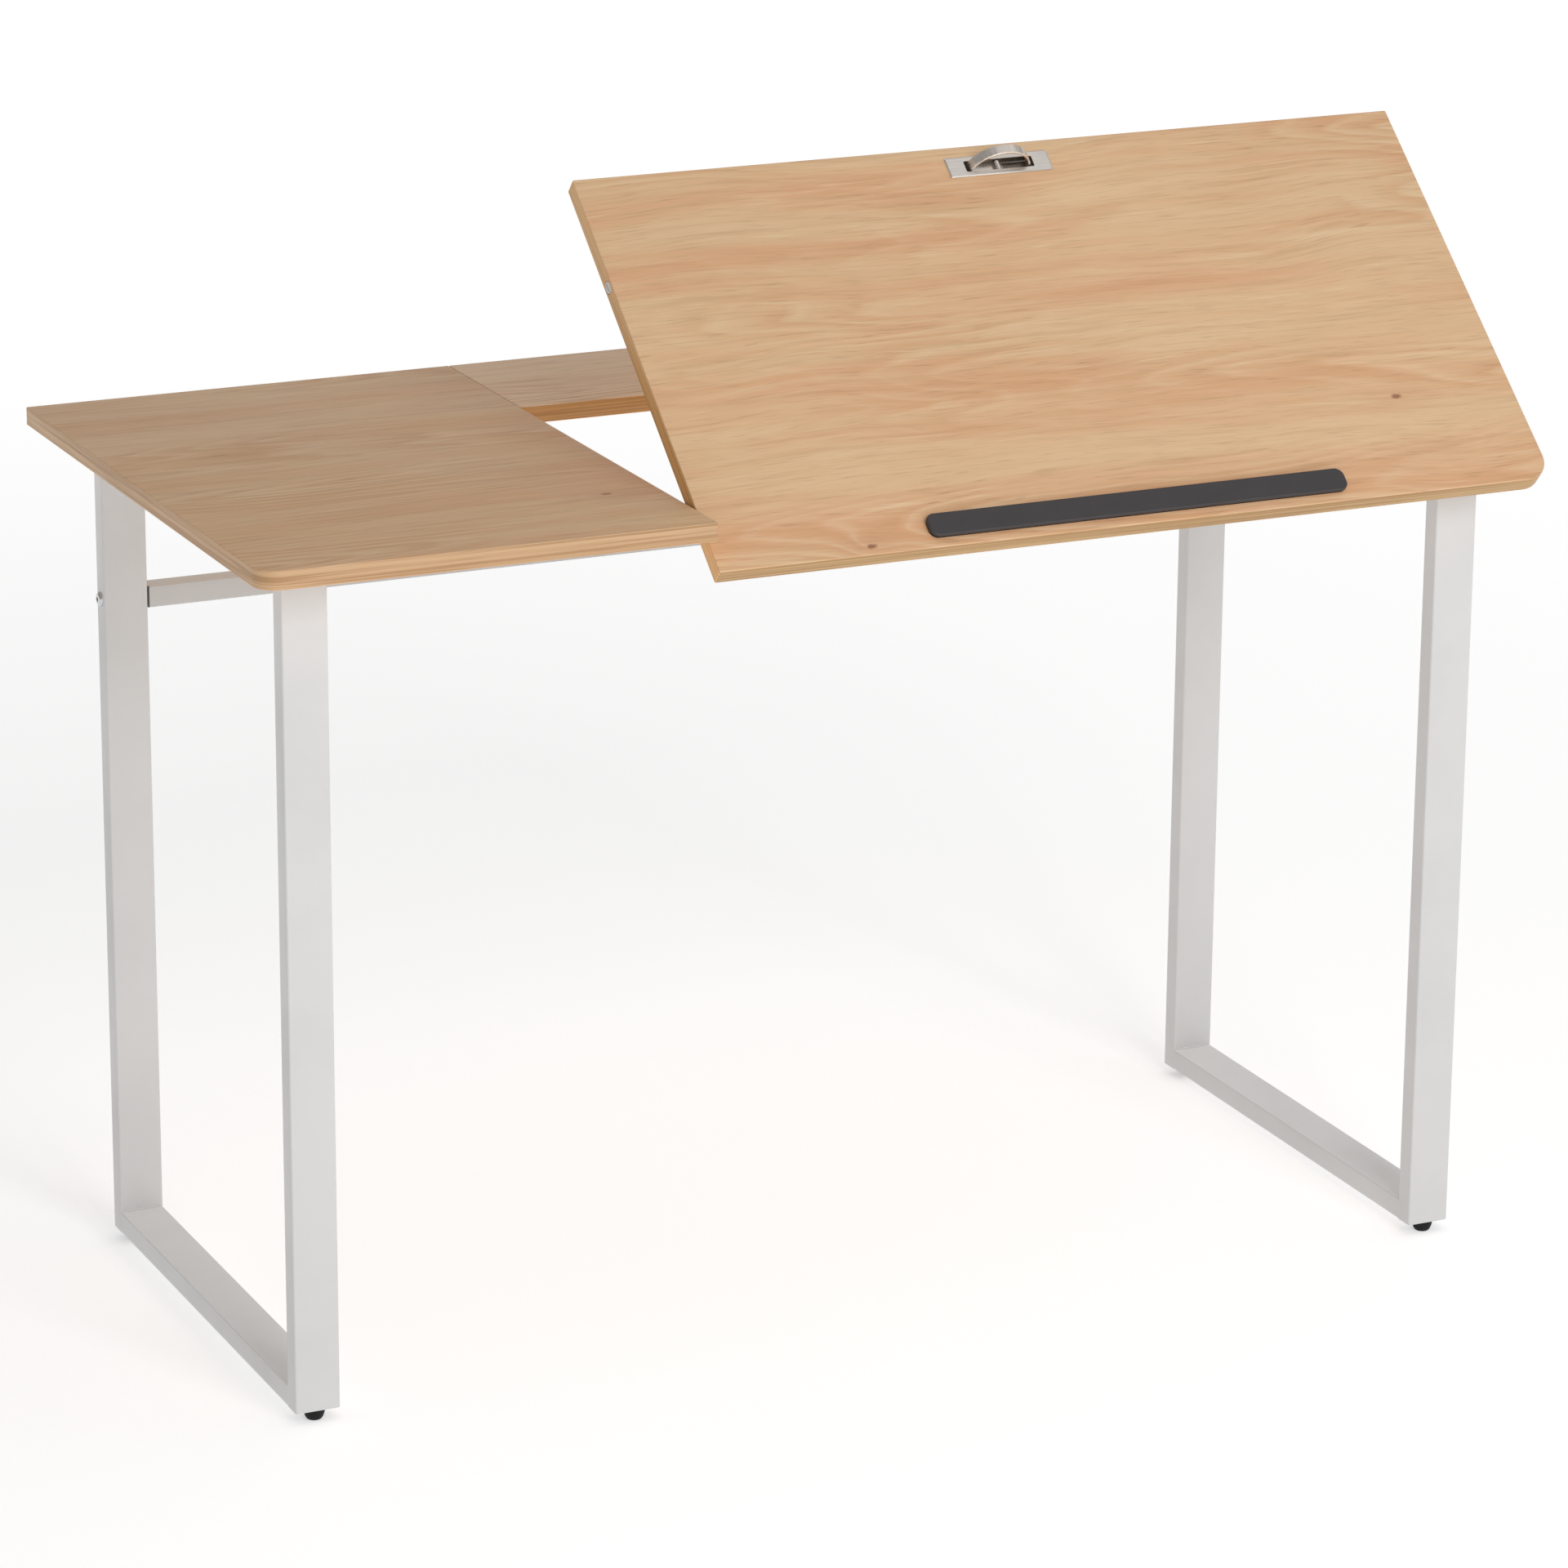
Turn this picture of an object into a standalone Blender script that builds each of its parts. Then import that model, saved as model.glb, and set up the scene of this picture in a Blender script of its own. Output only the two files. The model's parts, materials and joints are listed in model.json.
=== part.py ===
"""Drafting table with a fixed left top, a rear strip and a board that tilts about its front hinges.

Metres, +Z up. The origin is on the floor under the middle of the table, +X runs along its length
and the user sits at -Y. The board is modelled lying flat around its hinge axis and then tilted.
"""

from math import asin, cos, pi, radians, sin

import bmesh
import bpy
from mathutils import Vector

# ---------------------------------------------------------------- driving dimensions
LENGTH, DEPTH, HEIGHT = 1.200, 0.600, 0.765
PANEL = 0.016                      # thickness of all three wooden panels
CLEARANCE = 0.0003                 # between pieces that touch
LEFT_WIDTH = 0.399                 # fixed panel on the left
STRIP_DEPTH = 0.1713               # fixed strip behind the tilting board
BOARD_START_X = -0.1985
BOARD_DEPTH = 0.411
BOARD_FRONT_Y = -0.298             # front edge of the board when it lies flat
PANEL_CORNER, BOARD_CORNER = 0.020, 0.024
SOFT_CORNER = 0.002

TILT = radians(40.8)               # how far the board is raised here
TILT_LIMIT = radians(50)
HINGE_Y, HINGE_Z = -0.2392, 0.745  # the hinge axis runs along X

LEG_WIDTH, LEG_DEPTH, LEG_WALL = 0.040, 0.020, 0.0015
LEG_CENTRE_X = 0.540
FRAME_FRONT, FRAME_REAR = -0.237, 0.237
FRAME_BOTTOM = 0.010
FRAME_TOP = HEIGHT - PANEL - CLEARANCE
RAIL, RAIL_WALL = 0.020, 0.0012
FRONT_RAIL_Y = -0.225
CARRIER_X = (0.000, 0.400)         # rails that carry the tilt stays
STRETCHER_Z = 0.604

FOOT_RADIUS, FOOT_SOLE, STEM_RADIUS, STEM_HEIGHT = 0.0095, 0.0055, 0.0037, 0.034
INSERT_HEIGHT = 0.014

HINGE_X = (-0.070, 0.200, 0.470)
HINGE_LENGTH, KNUCKLES, KNUCKLE_RADIUS, KNUCKLE_BORE, PIN_RADIUS = 0.064, 5, 0.0034, 0.0019, 0.0016
LEAF, LEAF_WIDTH = 0.0015, 0.024

STAY_RADIUS, STAY_BAND, STAY_SLOT, STAY_PLATE = 0.190, 0.024, 0.0066, 0.003
STUD_RADIUS, STUD_ANGLE = 0.003, radians(-8)
KNOB_RADIUS, KNOB_LENGTH, KNOB_LOBES = 0.019, 0.016, 6

HANDLE_X, HANDLE_FROM_REAR = 0.200, 0.0228
PLATE_SIZE, SLOT_SIZE = (0.100, 0.0215), (0.066, 0.0112)
PLATE_RISE, COLLAR_DROP, COLLAR_WALL = 0.0012, 0.011, 0.0012
BAIL_HALF, BAIL_RISE, BAIL_STRAP, BAIL_WIDTH = 0.0305, 0.0260, 0.0026, 0.0095
BAIL_PIN_DROP, BAIL_HUB = 0.0034, 0.0032

LEDGE_SIZE, LEDGE_CORNER = (0.400, 0.0225, 0.0055), 0.008
LEDGE_X, LEDGE_FROM_FRONT = 0.198, 0.0197
CAP_RADIUS, CAP_DEPTH, CAP_FROM_FRONT = 0.0055, 0.007, 0.301

TOP_X, TOP_Y = LENGTH / 2, DEPTH / 2
BOARD_WIDTH = TOP_X - BOARD_START_X
BOARD_TOP = HEIGHT - HINGE_Z       # height of the board's face over the hinge axis
BOARD_UNDER = BOARD_TOP - PANEL
BOARD_FRONT = BOARD_FRONT_Y - HINGE_Y
BOARD_REAR = BOARD_FRONT + BOARD_DEPTH


# ---------------------------------------------------------------- materials
def material(name, colour, roughness, metallic=0.0):
    made = bpy.data.materials.new(name)
    made.use_nodes = True
    shader = made.node_tree.nodes["Principled BSDF"]
    shader.inputs["Base Color"].default_value = (*colour, 1)
    shader.inputs["Roughness"].default_value = roughness
    shader.inputs["Metallic"].default_value = metallic
    made.diffuse_color = (*colour, 1)
    return made


# ---------------------------------------------------------------- outlines
def rounded(width, depth, radius=0.0, steps=6, centre=(0, 0)):
    """A rectangle whose four corners may have one radius each, from the high corner onwards."""
    radii = radius if isinstance(radius, tuple) else (radius,) * 4
    points = []
    for corner, r in enumerate(radii):
        sign_u, sign_v = ((1, 1), (-1, 1), (-1, -1), (1, -1))[corner]
        count = steps if r > 0 else 1
        for step in range(count):
            angle = pi / 2 * (corner + (step / (count - 1) if count > 1 else 0))
            points.append((
                centre[0] + sign_u * (width / 2 - r) + r * cos(angle),
                centre[1] + sign_v * (depth / 2 - r) + r * sin(angle),
            ))
    return points


def circle(radius, count=24, centre=(0, 0)):
    return [
        (centre[0] + radius * cos(2 * pi * i / count), centre[1] + radius * sin(2 * pi * i / count))
        for i in range(count)
    ]


def arc_band(radius, half_width, start, end, along=20, cap=8):
    """The outline of a slot or band that follows an arc about (0, 0) and has round ends."""
    points = []
    for sign, first, last in ((1, start, end), (-1, end, start)):
        for i in range(along + 1):
            angle = first + (last - first) * i / along
            r = radius + sign * half_width
            points.append((r * cos(angle), r * sin(angle)))
        turn = 1 if (last > first) else -1
        for i in range(1, cap):
            angle = last + (0 if sign > 0 else pi) + turn * sign * pi * i / cap
            points.append((
                radius * cos(last) + half_width * cos(angle),
                radius * sin(last) + half_width * sin(angle),
            ))
    return points


def lobed(radius, lobes, depth, count):
    return [
        (
            (radius - depth * (0.5 - 0.5 * cos(lobes * 2 * pi * i / count))) * cos(2 * pi * i / count),
            (radius - depth * (0.5 - 0.5 * cos(lobes * 2 * pi * i / count))) * sin(2 * pi * i / count),
        )
        for i in range(count)
    ]


def lift(outline, axis, at):
    """Places a flat outline at a height along an axis: (y, z) along X, (x, z) along Y, (x, y) along Z."""
    order = {"X": lambda u, v: (at, u, v), "Y": lambda u, v: (u, at, v), "Z": lambda u, v: (u, v, at)}
    return [Vector(order[axis](u, v)) for u, v in outline]


# ---------------------------------------------------------------- solids
def solid(name, loops, made_of=None, ring=False, parent=None, at=(0, 0, 0)):
    """Joins loops of equal length into one closed body: capped at both ends, or back to the first."""
    mesh = bpy.data.meshes.new(name)
    bm = bmesh.new()
    rows = [[bm.verts.new(point) for point in loop] for loop in loops]
    pairs = list(zip(rows, rows[1:] + rows[:1])) if ring else list(zip(rows, rows[1:]))
    for low, high in pairs:
        for i in range(len(low)):
            j = (i + 1) % len(low)
            bm.faces.new((low[i], low[j], high[j], high[i]))
    if not ring:
        bm.faces.new(rows[0])
        bm.faces.new(rows[-1])
    bmesh.ops.recalc_face_normals(bm, faces=bm.faces)
    bm.to_mesh(mesh)
    bm.free()
    mesh.shade_smooth()
    mesh.set_sharp_from_angle(angle=radians(35))
    return place(name, mesh, made_of, parent, at)


def place(name, mesh, made_of=None, parent=None, at=(0, 0, 0)):
    thing = bpy.data.objects.new(name, mesh)
    bpy.context.scene.collection.objects.link(thing)
    if made_of and not mesh.materials:
        mesh.materials.append(made_of)
    thing.parent = parent
    thing.location = at
    return thing


def prism(name, outline, axis, low, high, made_of=None, hole=None, **where):
    """An outline pushed along an axis, with an optional hole of as many points all through it."""
    loops = [lift(outline, axis, low), lift(outline, axis, high)]
    if hole:
        loops += [lift(hole, axis, high), lift(hole, axis, low)]
    return solid(name, loops, made_of, ring=bool(hole), **where)


def boolean(target, tool, operation):
    """Unites the tool with the target or cuts it away, and keeps the result as the target's mesh."""
    made_of = target.data.materials[0] if target.data.materials else None
    modifier = target.modifiers.new(operation.title(), "BOOLEAN")
    modifier.operation, modifier.object = operation, tool
    bpy.context.view_layer.update()
    graph = bpy.context.evaluated_depsgraph_get()
    mesh = bpy.data.meshes.new_from_object(target.evaluated_get(graph))
    target.modifiers.clear()
    mesh.materials.clear()
    if made_of:
        mesh.materials.append(made_of)
    mesh.name = target.name
    target.data = mesh
    mesh.shade_smooth()
    mesh.set_sharp_from_angle(angle=radians(35))
    bpy.data.objects.remove(tool)
    return target


def soften(thing, width=0.0012, segments=2):
    modifier = thing.modifiers.new("Soft edges", "BEVEL")
    modifier.width, modifier.segments = width, segments
    modifier.limit_method, modifier.angle_limit = "ANGLE", radians(40)
    return thing


def tube(name, size, wall, axis, low, high, centre, made_of):
    """A rectangular steel tube, open at both ends."""
    width, depth = size
    outer = rounded(width, depth, 0.0022, 3, centre)
    inner = rounded(width - 2 * wall, depth - 2 * wall, 0.0009, 3, centre)
    return prism(name, outer, axis, low, high, made_of, hole=inner)


def block(name, size, middle, made_of=None, radius=0.0, **where):
    """A box along Z, given by its size and its middle."""
    outline = rounded(size[0], size[1], radius, 4, middle[:2])
    return prism(name, outline, "Z", middle[2] - size[2] / 2, middle[2] + size[2] / 2, made_of, **where)


# ---------------------------------------------------------------- start
for old in list(bpy.data.objects):
    bpy.data.objects.remove(old)

oak = material("light_oak", (0.66, 0.45, 0.26), 0.5)
white_steel = material("white_powder_coat", (0.80, 0.79, 0.78), 0.45)
zinc = material("zinc_plated_steel", (0.62, 0.62, 0.63), 0.35, 1.0)
nickel = material("satin_nickel", (0.62, 0.58, 0.54), 0.32, 1.0)
black_plastic = material("black_plastic", (0.05, 0.05, 0.052), 0.5)
black_rubber = material("black_rubber", (0.03, 0.03, 0.03), 0.7)
charcoal = material("charcoal_plastic", (0.065, 0.062, 0.065), 0.45)
pale_plastic = material("pale_plastic", (0.72, 0.71, 0.70), 0.4)

# ---------------------------------------------------------------- fixed panels
panel_z = HEIGHT - PANEL
left = prism(
    "left_panel",
    rounded(LEFT_WIDTH, DEPTH, (0, 0, PANEL_CORNER, 0), 12, (-TOP_X + LEFT_WIDTH / 2, 0)),
    "Z", panel_z, HEIGHT, oak,
)
strip_width = LENGTH - LEFT_WIDTH - CLEARANCE
strip = prism(
    "rear_strip_panel",
    rounded(strip_width, STRIP_DEPTH, 0, 1, (TOP_X - strip_width / 2, TOP_Y - STRIP_DEPTH / 2)),
    "Z", panel_z, HEIGHT, oak,
)
for panel in (left, strip):
    soften(panel)

# ---------------------------------------------------------------- side frames, feet and rails
leg_reach = FRAME_REAR - LEG_DEPTH - CLEARANCE
for side, name in ((-1, "left"), (1, "right")):
    x = side * LEG_CENTRE_X
    for end, y in (("front", FRAME_FRONT + LEG_DEPTH / 2), ("rear", FRAME_REAR - LEG_DEPTH / 2)):
        tube(f"{name}_{end}_leg", (LEG_WIDTH, LEG_DEPTH), LEG_WALL, "Z", FRAME_BOTTOM, FRAME_TOP, (x, y), white_steel)
        inside = (LEG_WIDTH - 2 * LEG_WALL - 2 * CLEARANCE, LEG_DEPTH - 2 * LEG_WALL - 2 * CLEARANCE)
        prism(
            f"{name}_{end}_foot_insert",
            rounded(*inside, 0.0012, 7, (x, y)), "Z",
            FRAME_BOTTOM + CLEARANCE, FRAME_BOTTOM + INSERT_HEIGHT, black_plastic,
            hole=circle(STEM_RADIUS + 2 * CLEARANCE, 28, (x, y)),
        )
        profile = [
            (0, FOOT_SOLE), (0.0014, FOOT_SOLE + 0.0019), (0.0040, FOOT_RADIUS - 0.0010), (0.0070, FOOT_RADIUS - 0.0002),
            (FRAME_BOTTOM - CLEARANCE, FOOT_RADIUS), (FRAME_BOTTOM - CLEARANCE, STEM_RADIUS),
            (STEM_HEIGHT, STEM_RADIUS),
        ]
        solid(
            f"{name}_{end}_foot", [lift(circle(r, 24), "Z", z) for z, r in profile],
            black_rubber, at=(x, y, 0),
        )
    for level, z in (("bottom", FRAME_BOTTOM + LEG_DEPTH / 2), ("top", FRAME_TOP - LEG_DEPTH / 2)):
        tube(f"{name}_{level}_bar", (LEG_WIDTH, LEG_DEPTH), LEG_WALL, "Y", -leg_reach, leg_reach, (x, z), white_steel)

rail_z = FRAME_TOP - RAIL / 2
rail_reach = LEG_CENTRE_X - LEG_WIDTH / 2 - CLEARANCE
rear_rail_y = FRAME_REAR - RAIL / 2
tube("front_rail", (RAIL, RAIL), RAIL_WALL, "X", -rail_reach, rail_reach, (FRONT_RAIL_Y, rail_z), white_steel)
tube("rear_rail", (RAIL, RAIL), RAIL_WALL, "X", -rail_reach, rail_reach, (rear_rail_y, rail_z), white_steel)
rail_ends = (FRONT_RAIL_Y + RAIL / 2 + CLEARANCE, rear_rail_y - RAIL / 2 - CLEARANCE)
middle_x = -TOP_X + LEFT_WIDTH - 0.004 - LEG_WIDTH / 2
tube("middle_bar", (LEG_WIDTH, RAIL), LEG_WALL, "Y", *rail_ends, (middle_x, rail_z), white_steel)
for x, name in zip(CARRIER_X, ("left", "right")):
    tube(f"{name}_carrier_rail", (RAIL, RAIL), RAIL_WALL, "Y", *rail_ends, (x, rail_z), white_steel)

stretcher = (rear_rail_y, STRETCHER_Z)
tube("stretcher", (RAIL, RAIL), RAIL_WALL, "X", -rail_reach, rail_reach, stretcher, white_steel)
bolt_hole = STUD_RADIUS + 2 * CLEARANCE
for side, name in ((-1, "left"), (1, "right")):
    inner, outer = side * (LEG_CENTRE_X - LEG_WIDTH / 2), side * (LEG_CENTRE_X + LEG_WIDTH / 2)
    drill = prism("drill", circle(bolt_hole, 24, stretcher), "X", inner - side * 0.01, outer + side * 0.01)
    boolean(bpy.data.objects[f"{name}_rear_leg"], drill, "DIFFERENCE")
    plug = RAIL - 2 * RAIL_WALL - 2 * CLEARANCE
    prism(
        f"{name}_stretcher_nut", rounded(plug, plug, 0.001, 6, stretcher), "X",
        side * (rail_reach - 0.002), side * (rail_reach - 0.014), zinc,
        hole=circle(bolt_hole, 24, stretcher),
    )
    head = [
        (rail_reach - 0.018, STUD_RADIUS), (abs(outer) + CLEARANCE, STUD_RADIUS),
        (abs(outer) + CLEARANCE, 0.0066), (abs(outer) + 0.0012, 0.0066), (abs(outer) + 0.0028, 0.0052),
        (abs(outer) + 0.0034, 0.0026), (abs(outer) + 0.0014, 0.0024),
    ]
    solid(f"{name}_stretcher_bolt", [lift(circle(r, 24, stretcher), "X", side * x) for x, r in head], zinc)

# ---------------------------------------------------------------- the tilting board
axis = bpy.data.objects.new("tilt_axis", None)
bpy.context.scene.collection.objects.link(axis)
axis.location = (0, HINGE_Y, HINGE_Z)

board_middle = ((BOARD_START_X + TOP_X) / 2, (BOARD_FRONT + BOARD_REAR) / 2)
board = prism(
    "tilt_board", rounded(BOARD_WIDTH, BOARD_DEPTH, (0, 0, 0, BOARD_CORNER), 12, board_middle),
    "Z", BOARD_UNDER, BOARD_TOP, oak, parent=axis,
)
soften(board)
handle_y = BOARD_REAR - HANDLE_FROM_REAR
collar = (SLOT_SIZE[0] + 2 * COLLAR_WALL, SLOT_SIZE[1] + 2 * COLLAR_WALL)
slot_cut = prism(
    "slot_cut", rounded(collar[0] + 2 * CLEARANCE, collar[1] + 2 * CLEARANCE, 0.002, 4, (HANDLE_X, handle_y)),
    "Z", BOARD_UNDER - 0.01, BOARD_TOP + 0.01, parent=axis,
)
boolean(board, slot_cut, "DIFFERENCE")
cap_y, cap_z = BOARD_FRONT + CAP_FROM_FRONT, BOARD_TOP - PANEL / 2
cap_hole = prism(
    "cap_hole", circle(CAP_RADIUS + CLEARANCE, 28, (cap_y, cap_z)), "X",
    BOARD_START_X - 0.01, BOARD_START_X + CAP_DEPTH + CLEARANCE, parent=axis,
)
boolean(board, cap_hole, "DIFFERENCE")
cap = prism(
    "edge_cap", circle(CAP_RADIUS, 28, (cap_y, cap_z)), "X",
    BOARD_START_X - 0.0005, BOARD_START_X + CAP_DEPTH, pale_plastic, parent=axis,
)
boolean(cap, block("slot", (0.002, 0.0075, 0.0011), (BOARD_START_X - 0.0006, cap_y, cap_z), parent=axis), "DIFFERENCE")

ledge_x, ledge_y, ledge_z = LEDGE_SIZE
ledge_loops = []
for rise, inset in ((CLEARANCE, 0), (ledge_z - 0.0018, 0), (ledge_z - 0.0006, 0.0005), (ledge_z, 0.0018)):
    outline = rounded(
        ledge_x - 2 * inset, ledge_y - 2 * inset, LEDGE_CORNER - inset, 7, (LEDGE_X, BOARD_FRONT + LEDGE_FROM_FRONT)
    )
    ledge_loops.append(lift(outline, "Z", BOARD_TOP + rise))
solid("ledge", ledge_loops, charcoal, parent=axis)

# ---------------------------------------------------------------- butt hinges
knuckle_pitch = HINGE_LENGTH / KNUCKLES


def leaf(name, fixed):
    """Half of a butt hinge: a plate beside the pin's axis, with every other knuckle of the barrel."""
    low, high = KNUCKLE_RADIUS + 2 * CLEARANCE, LEAF_WIDTH
    if fixed:
        low, high = -(HINGE_Z - (FRAME_TOP - RAIL)), -low
        flat = (FRONT_RAIL_Y - RAIL / 2 - CLEARANCE - HINGE_Y - LEAF / 2, (low + high) / 2)
        size = (LEAF, high - low)
    else:
        flat = (-(low + high) / 2, BOARD_UNDER - CLEARANCE - LEAF / 2)
        size = (high - low, LEAF)
    half = HINGE_LENGTH / 2
    made = prism(name, rounded(*size, 0, 1, flat), "X", -half, half, zinc)
    for i in range(0 if fixed else 1, KNUCKLES, 2):
        start = -half + i * knuckle_pitch + CLEARANCE
        end = start + knuckle_pitch - 2 * CLEARANCE
        if fixed:
            tongue = rounded(LEAF, -high + 0.001, 0, 1, (flat[0], (high - 0.001) / 2))
        else:
            tongue = rounded(low + 0.001, LEAF, 0, 1, (-(low + 0.001) / 2, flat[1]))
        boolean(made, prism("tongue", tongue, "X", start, end), "UNION")
        boolean(made, prism("knuckle", circle(KNUCKLE_RADIUS, 20), "X", start, end, hole=circle(KNUCKLE_BORE, 20)), "UNION")
    return made


leaves = {}
for x, name in zip(HINGE_X, ("left", "middle", "right")):
    for fixed, kind in ((True, "rail"), (False, "board")):
        parent, at = (None, (x, HINGE_Y, HINGE_Z)) if fixed else (axis, (x, 0, 0))
        if kind in leaves:
            place(f"{name}_hinge_{kind}_leaf", leaves[kind].data, parent=parent, at=at)
        else:
            leaves[kind] = leaf(f"{name}_hinge_{kind}_leaf", fixed)
            leaves[kind].parent, leaves[kind].location = parent, at
    pin = prism(f"{name}_hinge_pin", circle(PIN_RADIUS, 16), "X", -HINGE_LENGTH / 2, HINGE_LENGTH / 2, zinc)
    pin.location = (x, HINGE_Y, HINGE_Z)

# ---------------------------------------------------------------- slotted tilt stays and their clamps
stud = (HINGE_Y + STAY_RADIUS * cos(STUD_ANGLE), HINGE_Z + STAY_RADIUS * sin(STUD_ANGLE))
slot_top, slot_end = STUD_ANGLE + radians(1), STUD_ANGLE - TILT_LIMIT - radians(1)
stack = RAIL / 2 + CLEARANCE       # outwards from the middle of the carrier rail
for x, side, name in ((CARRIER_X[0], 1, "left"), (CARRIER_X[1], -1, "right")):
    plate_in = stack
    plate_out = plate_in + STAY_PLATE
    stay_in = plate_out + 0.0016
    stay_out = stay_in + STAY_PLATE
    knob_in = stay_out + 0.0022

    def off(distance):
        return x + side * distance

    bracket = [(stud[0] + 0.040, -0.003), (stud[0] - 0.040, -0.003), (stud[0] - 0.040, -0.0165),
               (stud[0] - 0.012, -0.040), (stud[0] + 0.012, -0.040), (stud[0] + 0.040, -0.0165)]
    clamp = prism(
        f"{name}_clamp_plate", [(y, FRAME_TOP + z) for y, z in bracket], "X", off(plate_in), off(plate_out), white_steel
    )
    boolean(clamp, prism("drill", circle(bolt_hole, 24, stud), "X", off(plate_in - 0.01), off(plate_out + 0.01)), "DIFFERENCE")
    for end, y in (("front", stud[0] - 0.030), ("rear", stud[0] + 0.030)):
        where = (y, rail_z)
        for target in (clamp, bpy.data.objects[f"{name}_carrier_rail"]):
            drill = prism("drill", circle(0.0024, 16, where), "X", off(RAIL / 2 - 0.004), off(plate_out + 0.002))
            boolean(target, drill, "DIFFERENCE")
        screw = [(stack - 0.006, 0.002), (plate_out + CLEARANCE, 0.002), (plate_out + CLEARANCE, 0.004),
                 (plate_out + 0.0013, 0.0036), (plate_out + 0.0018, 0.0020)]
        solid(f"{name}_clamp_screw_{end}", [lift(circle(r, 16, where), "X", off(d)) for d, r in screw], zinc)

    stay = prism(
        f"{name}_stay", arc_band(STAY_RADIUS, STAY_BAND / 2, slot_end, slot_top), "X",
        off(stay_in), off(stay_out), zinc, parent=axis,
    )
    web_low, web_high = STAY_RADIUS * sin(slot_top) + 0.004, BOARD_UNDER - CLEARANCE
    web = rounded(STAY_BAND, web_high - web_low, 0, 1, (STAY_RADIUS, (web_low + web_high) / 2))
    boolean(stay, prism("web", web, "X", off(stay_in), off(stay_out), parent=axis), "UNION")
    flange = block(
        "flange", (0.020, 0.052, STAY_PLATE),
        (off(stay_in + 0.010), STAY_RADIUS, web_high - STAY_PLATE / 2), parent=axis,
    )
    boolean(stay, flange, "UNION")
    slot = prism(
        "slot", arc_band(STAY_RADIUS, STAY_SLOT / 2, slot_end, slot_top), "X",
        off(stay_in - 0.01), off(stay_out + 0.01), parent=axis,
    )
    boolean(stay, slot, "DIFFERENCE")

    bolt = [(plate_in - CLEARANCE - 0.0030, 0.0055), (plate_in - CLEARANCE, 0.0055), (plate_in - CLEARANCE, STUD_RADIUS),
            (knob_in + 0.0125, STUD_RADIUS)]
    solid(f"{name}_clamp_bolt", [lift(circle(r, 20, stud), "X", off(d)) for d, r in bolt], zinc)
    prism(
        f"{name}_clamp_washer", circle(0.0085, 24, stud), "X", off(stay_out + CLEARANCE), off(knob_in - CLEARANCE),
        zinc, hole=circle(bolt_hole, 24, stud),
    )
    count = 48
    bore = circle(bolt_hole, count)
    knob_loops = [(0, circle(0.009, count)), (0.004, lobed(0.0145, KNOB_LOBES, 0.0015, count)),
                  (0.006, lobed(KNOB_RADIUS, KNOB_LOBES, 0.0035, count)),
                  (KNOB_LENGTH - 0.002, lobed(KNOB_RADIUS, KNOB_LOBES, 0.0035, count)),
                  (KNOB_LENGTH, lobed(KNOB_RADIUS - 0.0025, KNOB_LOBES, 0.003, count)),
                  (KNOB_LENGTH, bore), (0, bore)]
    solid(
        f"{name}_knob", [lift(outline, "X", side * d) for d, outline in knob_loops],
        black_plastic, ring=True, at=(off(knob_in), *stud),
    )

# ---------------------------------------------------------------- recessed flip handle
where = (HANDLE_X, handle_y)
corner_steps = 5
mouth = rounded(*SLOT_SIZE, 0.0012, corner_steps, where)
case_loops = [
    (CLEARANCE, rounded(*PLATE_SIZE, 0.0008, corner_steps, where)),
    (PLATE_RISE - 0.0003, rounded(*PLATE_SIZE, 0.0008, corner_steps, where)),
    (PLATE_RISE, rounded(PLATE_SIZE[0] - 0.0008, PLATE_SIZE[1] - 0.0008, 0.0006, corner_steps, where)),
    (PLATE_RISE, mouth), (-COLLAR_DROP, mouth),
    (-COLLAR_DROP, rounded(*collar, 0.0018, corner_steps, where)),
    (CLEARANCE, rounded(*collar, 0.0018, corner_steps, where)),
]
case = solid(
    "handle_case", [lift(outline, "Z", BOARD_TOP + z) for z, outline in case_loops], nickel, ring=True, parent=axis
)
pin_z = BOARD_TOP - BAIL_PIN_DROP
pin_end = SLOT_SIZE[1] / 2 + COLLAR_WALL - CLEARANCE
boolean(case, prism("drill", circle(0.0016, 20, (HANDLE_X, pin_z)), "Y", handle_y - 0.02, handle_y + 0.02, parent=axis), "DIFFERENCE")
prism("handle_pin", circle(0.0012, 16, (HANDLE_X, pin_z)), "Y", handle_y - pin_end, handle_y + pin_end, nickel, parent=axis)


def arch(half, rise, foot, steps=24):
    """A bow over a straight foot: blunt at its two ends and nearly round at the top."""
    points = [(half * cos(pi * i / steps), foot + (rise - foot) * sin(pi * i / steps)) for i in range(steps + 1)]
    return points


bail_half = BAIL_WIDTH / 2
bail = prism(
    "handle_bail", arch(BAIL_HALF, BAIL_RISE, -BAIL_HUB), "Y", -bail_half, bail_half, nickel,
    hole=arch(BAIL_HALF - BAIL_STRAP, BAIL_RISE - BAIL_STRAP, -BAIL_HUB + 0.0018), parent=axis, at=(HANDLE_X, handle_y, pin_z),
)
hub_half = SLOT_SIZE[1] / 2 - CLEARANCE
boolean(bail, prism("hub", circle(BAIL_HUB, 24), "Y", -hub_half, hub_half, parent=axis, at=bail.location), "UNION")
boolean(bail, prism("drill", circle(0.0015, 20), "Y", -0.02, 0.02, parent=axis, at=bail.location), "DIFFERENCE")

axis.rotation_euler = (TILT, 0, 0)
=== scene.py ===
"""Looks of the drafting table: laminate, powder coat, plated hardware, and the fine shape of each piece.

Metres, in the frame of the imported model. Pieces on the tilting board are modelled in the board's own
frame, lying flat with the hinge axis at its origin, and carried to their place by BOARD.
"""

import json
from math import cos, pi, radians, sin

import bmesh
import bpy
from mathutils import Matrix, Vector, noise


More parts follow.
